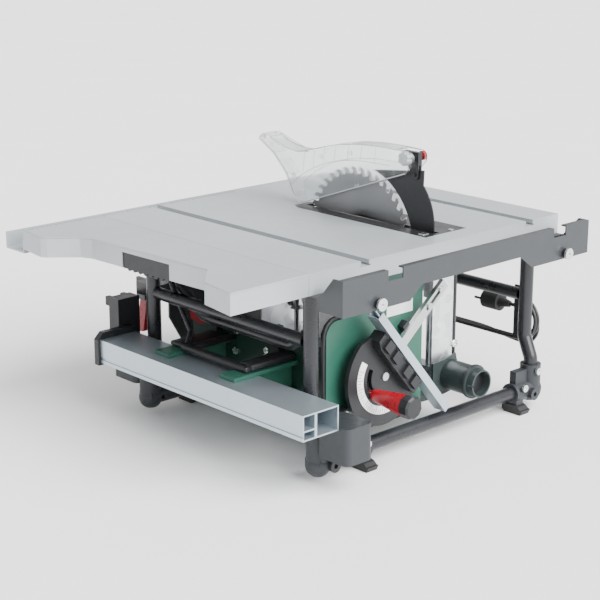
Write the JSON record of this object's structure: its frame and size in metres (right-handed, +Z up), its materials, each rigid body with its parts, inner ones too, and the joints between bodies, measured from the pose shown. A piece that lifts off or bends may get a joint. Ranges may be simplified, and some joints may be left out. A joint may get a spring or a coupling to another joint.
{
  "type": "table saw",
  "caption": "Portable benchtop table saw on a low tube frame, with a sliding extension, clear blade guard, rip fence and stored mitre gauge.",
  "frame": {"origin": "on the floor under the middle of the saw's outline, measured without the mains cord", "axes": "+X to the operator's right, towards the extension; +Y from the operator to the rear, along the blade; +Z up"},
  "size_m": [0.7945, 0.7164, 0.4894],
  "materials": {
    "table_aluminium": "satin grey powder coat over die-cast aluminium",
    "extension_aluminium": "satin grey powder coat",
    "insert_black": "matt black",
    "rail_aluminium": "anodised satin",
    "rail_grey": "dark grey powder coat",
    "tube_black": "satin black powder coat",
    "casting_charcoal": "fine-textured charcoal",
    "rubber_black": "matt",
    "panel_black": "fine-textured black",
    "panel_green": "satin deep green",
    "label_white": "printed film",
    "zinc": "bright zinc plated",
    "galvanised": "galvanised sheet",
    "steel": "ground steel",
    "carbide": "ground carbide",
    "cast_aluminium": "as cast",
    "knife_black": "satin black",
    "clear_plastic": "clear polycarbonate",
    "red_plastic": "satin red",
    "start_green": "satin green",
    "cord_black": "satin rubber sheath"
  },
  "bodies": {
    "frame": {"table_top": "table_aluminium", "table_insert": "insert_black", "front_rail": "rail_aluminium", "rear_rail": "rail_grey", "posts": "tube_black", "side_tubes": "tube_black", "bottom_tubes": "tube_black", "castings": "casting_charcoal", "feet": "rubber_black", "front_panel": "panel_black", "rear_panel": "panel_green", "labels": "label_white", "side_panel": "panel_green", "screws": "zinc", "dust_trough": "panel_black", "arc_plates": "cast_aluminium", "fence_hooks": "panel_green", "switch_housing": "panel_black", "lock_bracket": "tube_black", "clips": "panel_black", "cord_feed": "cord_black", "cord_coil": "cord_black", "cord_tail": "cord_black", "plug": "rubber_black"},
    "extension": {"extension_table": "extension_aluminium", "extension_grip": "panel_black", "guide_tubes": "steel", "extension_rail": "rail_aluminium"},
    "extension_lock": {"extension_lever": "red_plastic"},
    "tilt_unit": {"tilt_frame": "galvanised", "blade_case": "galvanised"},
    "bevel_lock": {"bevel_lock": "panel_black"},
    "crank": {"crank_shaft": "steel", "crank_wheel": "panel_black"},
    "crank_grip": {"crank_grip": "red_plastic"},
    "lift_screw": {"lift_screw": "steel"},
    "motor_unit": {"motor_carriage": "cast_aluminium", "gearbox": "cast_aluminium", "motor_housing": "panel_green", "motor_cap": "panel_black", "riving_knife": "knife_black"},
    "blade": {"saw_blade": "steel", "blade_tips": "carbide", "arbor": "steel"},
    "guard_bracket": {"guard_bracket": "knife_black"},
    "guard": {"guard_shell": "clear_plastic"},
    "guard_knob": {"guard_knob": "red_plastic"},
    "gauge_bar": {"gauge_bar": "steel"},
    "gauge_head": {"gauge_head": "panel_black", "gauge_scale": "label_white", "gauge_fence": "rail_aluminium"},
    "gauge_handle": {"gauge_handle": "red_plastic", "handle_cap": "panel_black"},
    "rip_fence": {"rip_fence": "rail_aluminium", "fence_head": "panel_black"},
    "fence_lever": {"fence_lever": "red_plastic"},
    "push_stick": {"push_stick": "red_plastic"},
    "start_button": {"start_button": "start_green"},
    "stop_button": {"stop_button": "red_plastic"}
  },
  "joints": [
    {"name": "extension_slide", "type": "slide", "parent": "frame", "child": "extension", "axis": [1, 0, 0], "range_m": [0, 0.2]},
    {"name": "extension_lock_lever", "type": "hinge", "parent": "frame", "child": "extension_lock", "pos_m": [0.145, -0.22975, 0.205], "axis": [-1, 0, 0], "range_deg": [0, 75]},
    {"name": "bevel_tilt", "type": "hinge", "parent": "frame", "child": "tilt_unit", "pos_m": [-0.115, 0.04975, 0.355], "axis": [0, -1, 0], "range_deg": [0, 45]},
    {"name": "bevel_lock_lever", "type": "hinge", "parent": "tilt_unit", "child": "bevel_lock", "pos_m": [-0.115, -0.25975, 0.165], "axis": [0, 1, 0], "range_deg": [0, 40]},
    {"name": "crank_turn", "type": "hinge", "parent": "tilt_unit", "child": "crank", "pos_m": [-0.115, -0.25975, 0.165], "axis": [0, 1, 0], "range_deg": [-2611, 1]},
    {"name": "crank_grip_spin", "type": "hinge", "parent": "crank", "child": "crank_grip", "pos_m": [-0.072, -0.30975, 0.165], "axis": [0, 1, 0], "continuous": true},
    {"name": "lift_screw_turn", "type": "hinge", "parent": "tilt_unit", "child": "lift_screw", "pos_m": [-0.115, -0.10975, 0.205], "axis": [0, 0, 1], "range_deg": [-2611, 1]},
    {"name": "blade_lift", "type": "slide", "parent": "tilt_unit", "child": "motor_unit", "axis": [0, 0, 1], "range_m": [-0.087, 0]},
    {"name": "blade_spin", "type": "hinge", "parent": "motor_unit", "child": "blade", "pos_m": [-0.115, 0.04975, 0.315], "axis": [1, 0, 0], "continuous": true},
    {"name": "guard_follow", "type": "hinge", "parent": "motor_unit", "child": "guard_bracket", "pos_m": [-0.115, 0.18525, 0.447], "axis": [-1, 0, 0], "range_deg": [-0.5, 20.5]},
    {"name": "guard_lift", "type": "hinge", "parent": "guard_bracket", "child": "guard", "pos_m": [-0.115, 0.18025, 0.477], "axis": [-1, 0, 0], "range_deg": [0, 30]},
    {"name": "guard_knob_turn", "type": "hinge", "parent": "guard", "child": "guard_knob", "pos_m": [-0.115, 0.18025, 0.477], "axis": [1, 0, 0], "continuous": true},
    {"name": "gauge_pull_off", "type": "slide", "parent": "frame", "child": "gauge_bar", "axis": [0, 1, 0], "range_m": [0, 0.15]},
    {"name": "gauge_swivel", "type": "hinge", "parent": "gauge_bar", "child": "gauge_head", "pos_m": [0.038, 0.26025, 0.146], "axis": [0, 1, 0], "range_deg": [0, 60]},
    {"name": "gauge_handle_turn", "type": "hinge", "parent": "gauge_head", "child": "gauge_handle", "pos_m": [0.06365, 0.27025, 0.12056], "axis": [0, 1, 0], "continuous": true},
    {"name": "fence_pull_off", "type": "slide", "parent": "frame", "child": "rip_fence", "axis": [1, 0, 0], "range_m": [0, 0.15]},
    {"name": "fence_clamp_lever", "type": "hinge", "parent": "rip_fence", "child": "fence_lever", "pos_m": [0.209, -0.23375, 0.205], "axis": [-1, 0, 0], "range_deg": [0, 75]},
    {"name": "push_stick_pull_off", "type": "slide", "parent": "frame", "child": "push_stick", "axis": [0, -1, 0], "range_m": [0, 0.09]},
    {"name": "start_push", "type": "slide", "parent": "frame", "child": "start_button", "axis": [0, 1, 0], "range_m": [0, 0.003], "stiffness_N_per_m": 600},
    {"name": "stop_push", "type": "slide", "parent": "frame", "child": "stop_button", "axis": [0, 1, 0], "range_m": [0, 0.003], "stiffness_N_per_m": 600}
  ],
  "couplings": [
    {"joint": "lift_screw_turn", "follows": "blade_lift", "rad_per_m": 523.6},
    {"joint": "crank_turn", "follows": "blade_lift", "rad_per_m": 523.6},
    {"joint": "guard_follow", "follows": "blade_lift", "rad_per_m": -4.0123}
  ]
}
